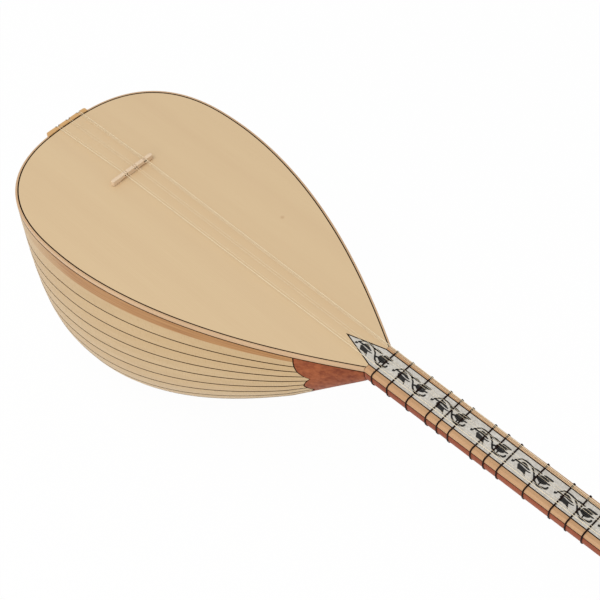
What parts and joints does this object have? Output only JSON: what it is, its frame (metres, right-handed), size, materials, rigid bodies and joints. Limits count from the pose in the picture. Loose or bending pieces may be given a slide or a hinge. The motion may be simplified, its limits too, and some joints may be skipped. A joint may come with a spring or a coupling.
{
  "type": "long-neck lute",
  "caption": "Long-neck plucked lute with a ribbed pear-shaped bowl, inlaid fingerboard, tied movable frets, strings in courses, a loose bridge and turning pegs.",
  "frame": {"origin": "middle of the nut's front edge on the fingerboard plane, where the scale length starts", "axes": "+X along the neck from the nut to the tail, +Z out of the soundboard, -Y the side of the side pegs"},
  "size_m": [1.1857, 0.2372, 0.2696],
  "materials": {
    "spruce": "satin varnish",
    "rib": "satin varnish",
    "band": "satin varnish",
    "heel": "satin varnish",
    "block": "raw",
    "holder": "satin",
    "neck": "satin varnish",
    "strip": "satin varnish",
    "pearl": "glossy, mottled, with a dark vine inlay",
    "bone": "polished bone",
    "bridge": "raw, fine",
    "fret": "nylon strand",
    "peg": "polished",
    "string": "bronze-coloured wire"
  },
  "bodies": {
    "root": {"soundboard": "spruce", "rim_band_near": "band", "rim_band_far": "band", "side_rib_near": "rib", "side_rib_far": "rib", "bowl_ribs_1": "rib", "bowl_ribs_2": "rib", "bowl_ribs_3": "rib", "bowl_ribs_4": "rib", "bowl_ribs_5": "rib", "bowl_ribs_6": "rib", "throat_block": "heel", "tail_block": "block", "string_holder": "holder", "neck": "neck", "fingerboard_strip_near": "strip", "fingerboard_strip_far": "strip", "inlay_plate": "pearl", "headstock": "neck", "nut": "bone", "string_1": "string", "string_2": "string", "string_3": "string", "string_4": "string", "string_5": "string", "string_6": "string", "string_7": "string"},
    "peg_1": {"peg_1": "peg"},
    "peg_2": {"peg_2": "peg"},
    "peg_3": {"peg_3": "peg"},
    "peg_4": {"peg_4": "peg"},
    "peg_5": {"peg_5": "peg"},
    "peg_6": {"peg_6": "peg"},
    "peg_7": {"peg_7": "peg"},
    "bridge": {"bridge": "bridge"},
    "fret_01": {"fret_01": "fret"},
    "fret_02": {"fret_02": "fret"},
    "fret_03": {"fret_03": "fret"},
    "fret_04": {"fret_04": "fret"},
    "fret_05": {"fret_05": "fret"},
    "fret_06": {"fret_06": "fret"},
    "fret_07": {"fret_07": "fret"},
    "fret_08": {"fret_08": "fret"},
    "fret_09": {"fret_09": "fret"},
    "fret_10": {"fret_10": "fret"},
    "fret_11": {"fret_11": "fret"},
    "fret_12": {"fret_12": "fret"},
    "fret_13": {"fret_13": "fret"},
    "fret_14": {"fret_14": "fret"},
    "fret_15": {"fret_15": "fret"},
    "fret_16": {"fret_16": "fret"},
    "fret_17": {"fret_17": "fret"},
    "fret_18": {"fret_18": "fret"},
    "fret_19": {"fret_19": "fret"},
    "fret_20": {"fret_20": "fret"},
    "fret_21": {"fret_21": "fret"},
    "fret_22": {"fret_22": "fret"},
    "fret_23": {"fret_23": "fret"}
  },
  "joints": [
    {"name": "peg_1_turn", "type": "hinge", "parent": "root", "child": "peg_1", "pos_m": [-0.04976, 0.005, -0.00888], "axis": [-0.1564, 0, 0.9877], "continuous": true},
    {"name": "peg_2_turn", "type": "hinge", "parent": "root", "child": "peg_2", "pos_m": [-0.08729, -0.005, -0.01483], "axis": [-0.1564, 0, 0.9877], "continuous": true},
    {"name": "peg_3_turn", "type": "hinge", "parent": "root", "child": "peg_3", "pos_m": [-0.12482, 0.005, -0.02077], "axis": [-0.1564, 0, 0.9877], "continuous": true},
    {"name": "peg_4_turn", "type": "hinge", "parent": "root", "child": "peg_4", "pos_m": [-0.16235, -0.005, -0.02672], "axis": [-0.1564, 0, 0.9877], "continuous": true},
    {"name": "peg_5_turn", "type": "hinge", "parent": "root", "child": "peg_5", "pos_m": [-0.06712, -0.01435, -0.02074], "axis": [0, -1, 0], "continuous": true},
    {"name": "peg_6_turn", "type": "hinge", "parent": "root", "child": "peg_6", "pos_m": [-0.10465, -0.01384, -0.02669], "axis": [0, -1, 0], "continuous": true},
    {"name": "peg_7_turn", "type": "hinge", "parent": "root", "child": "peg_7", "pos_m": [-0.14218, -0.01332, -0.03263], "axis": [0, -1, 0], "continuous": true},
    {"name": "bridge_shift", "type": "slide", "parent": "root", "child": "bridge", "axis": [1, 0, 0], "range_m": [-0.006, 0.002]},
    {"name": "fret_01_shift", "type": "slide", "parent": "root", "child": "fret_01", "axis": [1, 0, 0], "range_m": [-0.002, 0.002]},
    {"name": "fret_02_shift", "type": "slide", "parent": "root", "child": "fret_02", "axis": [1, 0, 0], "range_m": [-0.002, 0.002]},
    {"name": "fret_03_shift", "type": "slide", "parent": "root", "child": "fret_03", "axis": [1, 0, 0], "range_m": [-0.002, 0.002]},
    {"name": "fret_04_shift", "type": "slide", "parent": "root", "child": "fret_04", "axis": [1, 0, 0], "range_m": [-0.002, 0.002]},
    {"name": "fret_05_shift", "type": "slide", "parent": "root", "child": "fret_05", "axis": [1, 0, 0], "range_m": [-0.002, 0.002]},
    {"name": "fret_06_shift", "type": "slide", "parent": "root", "child": "fret_06", "axis": [1, 0, 0], "range_m": [-0.002, 0.002]},
    {"name": "fret_07_shift", "type": "slide", "parent": "root", "child": "fret_07", "axis": [1, 0, 0], "range_m": [-0.002, 0.002]},
    {"name": "fret_08_shift", "type": "slide", "parent": "root", "child": "fret_08", "axis": [1, 0, 0], "range_m": [-0.002, 0.002]},
    {"name": "fret_09_shift", "type": "slide", "parent": "root", "child": "fret_09", "axis": [1, 0, 0], "range_m": [-0.002, 0.002]},
    {"name": "fret_10_shift", "type": "slide", "parent": "root", "child": "fret_10", "axis": [1, 0, 0], "range_m": [-0.002, 0.002]},
    {"name": "fret_11_shift", "type": "slide", "parent": "root", "child": "fret_11", "axis": [1, 0, 0], "range_m": [-0.002, 0.002]},
    {"name": "fret_12_shift", "type": "slide", "parent": "root", "child": "fret_12", "axis": [1, 0, 0], "range_m": [-0.002, 0.002]},
    {"name": "fret_13_shift", "type": "slide", "parent": "root", "child": "fret_13", "axis": [1, 0, 0], "range_m": [-0.002, 0.002]},
    {"name": "fret_14_shift", "type": "slide", "parent": "root", "child": "fret_14", "axis": [1, 0, 0], "range_m": [-0.002, 0.002]},
    {"name": "fret_15_shift", "type": "slide", "parent": "root", "child": "fret_15", "axis": [1, 0, 0], "range_m": [-0.002, 0.002]},
    {"name": "fret_16_shift", "type": "slide", "parent": "root", "child": "fret_16", "axis": [1, 0, 0], "range_m": [-0.002, 0.002]},
    {"name": "fret_17_shift", "type": "slide", "parent": "root", "child": "fret_17", "axis": [1, 0, 0], "range_m": [-0.002, 0.002]},
    {"name": "fret_18_shift", "type": "slide", "parent": "root", "child": "fret_18", "axis": [1, 0, 0], "range_m": [-0.002, 0.002]},
    {"name": "fret_19_shift", "type": "slide", "parent": "root", "child": "fret_19", "axis": [1, 0, 0], "range_m": [-0.002, 0.002]},
    {"name": "fret_20_shift", "type": "slide", "parent": "root", "child": "fret_20", "axis": [1, 0, 0], "range_m": [-0.002, 0.002]},
    {"name": "fret_21_shift", "type": "slide", "parent": "root", "child": "fret_21", "axis": [1, 0, 0], "range_m": [-0.002, 0.002]},
    {"name": "fret_22_shift", "type": "slide", "parent": "root", "child": "fret_22", "axis": [1, 0, 0], "range_m": [-0.002, 0.002]},
    {"name": "fret_23_shift", "type": "slide", "parent": "root", "child": "fret_23", "axis": [1, 0, 0], "range_m": [-0.002, 0.002]}
  ]
}
